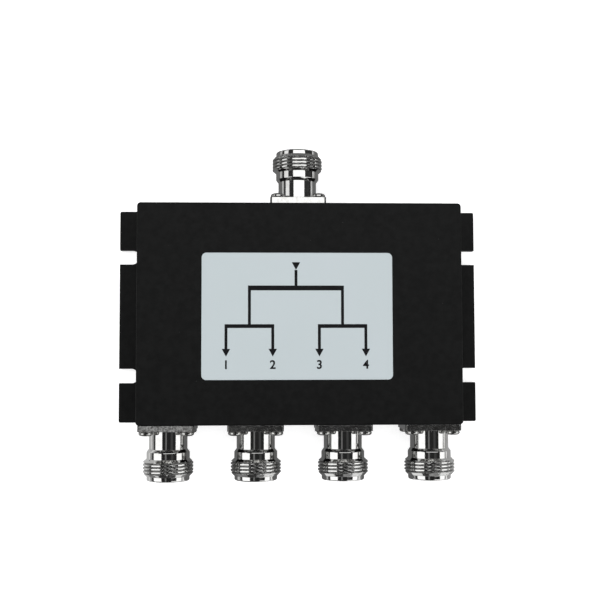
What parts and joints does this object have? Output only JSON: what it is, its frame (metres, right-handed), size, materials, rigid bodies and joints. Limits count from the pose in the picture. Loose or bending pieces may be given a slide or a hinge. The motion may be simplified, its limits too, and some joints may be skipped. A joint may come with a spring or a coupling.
{
  "type": "rf power splitter",
  "caption": "Flat black metal housing with slotted mounting ears, a threaded coaxial input on one long side and coaxial outputs on the other.",
  "frame": {"origin": "centre of the base, with the part lying on its back", "axes": "+X along the row of outputs, +Y towards the input, +Z out of the label face"},
  "size_m": [0.1162, 0.1044, 0.0203],
  "materials": {
    "paint": "black powder coat with a fine grain",
    "shell": "bright nickel over turned brass",
    "screw": "plated steel",
    "insulator": "white, waxy",
    "contact": "thin gold plate",
    "board": "glass laminate",
    "trace": "copper",
    "resistor": "black glaze",
    "label": "pale satin film with black marks"
  },
  "bodies": {
    "root": {"housing": "paint", "back_cover": "paint", "label": "label", "circuit_board": "board", "trace": "trace", "input_connector_shell": "shell", "output_1_connector_shell": "shell", "output_2_connector_shell": "shell", "output_3_connector_shell": "shell", "output_4_connector_shell": "shell", "input_insulator": "insulator", "output_1_insulator": "insulator", "output_2_insulator": "insulator", "output_3_insulator": "insulator", "output_4_insulator": "insulator", "input_centre_contact": "contact", "output_1_centre_contact": "contact", "output_2_centre_contact": "contact", "output_3_centre_contact": "contact", "output_4_centre_contact": "contact", "isolation_resistor_1": "resistor", "isolation_resistor_2": "resistor", "isolation_resistor_3": "resistor", "isolation_resistor_4": "resistor", "isolation_resistor_5": "resistor", "isolation_resistor_6": "resistor", "board_screw_1": "screw", "board_screw_2": "screw", "board_screw_3": "screw", "board_screw_4": "screw", "cover_screw_1": "screw", "cover_screw_2": "screw", "cover_screw_3": "screw", "cover_screw_4": "screw", "cover_screw_5": "screw", "cover_screw_6": "screw", "cover_screw_7": "screw", "cover_screw_8": "screw", "input_flange_screw_1": "screw", "input_flange_screw_2": "screw", "input_flange_screw_3": "screw", "input_flange_screw_4": "screw", "output_1_flange_screw_1": "screw", "output_1_flange_screw_2": "screw", "output_1_flange_screw_3": "screw", "output_1_flange_screw_4": "screw", "output_2_flange_screw_1": "screw", "output_2_flange_screw_2": "screw", "output_2_flange_screw_3": "screw", "output_2_flange_screw_4": "screw", "output_3_flange_screw_1": "screw", "output_3_flange_screw_2": "screw", "output_3_flange_screw_3": "screw", "output_3_flange_screw_4": "screw", "output_4_flange_screw_1": "screw", "output_4_flange_screw_2": "screw", "output_4_flange_screw_3": "screw", "output_4_flange_screw_4": "screw"}
  },
  "joints": []
}
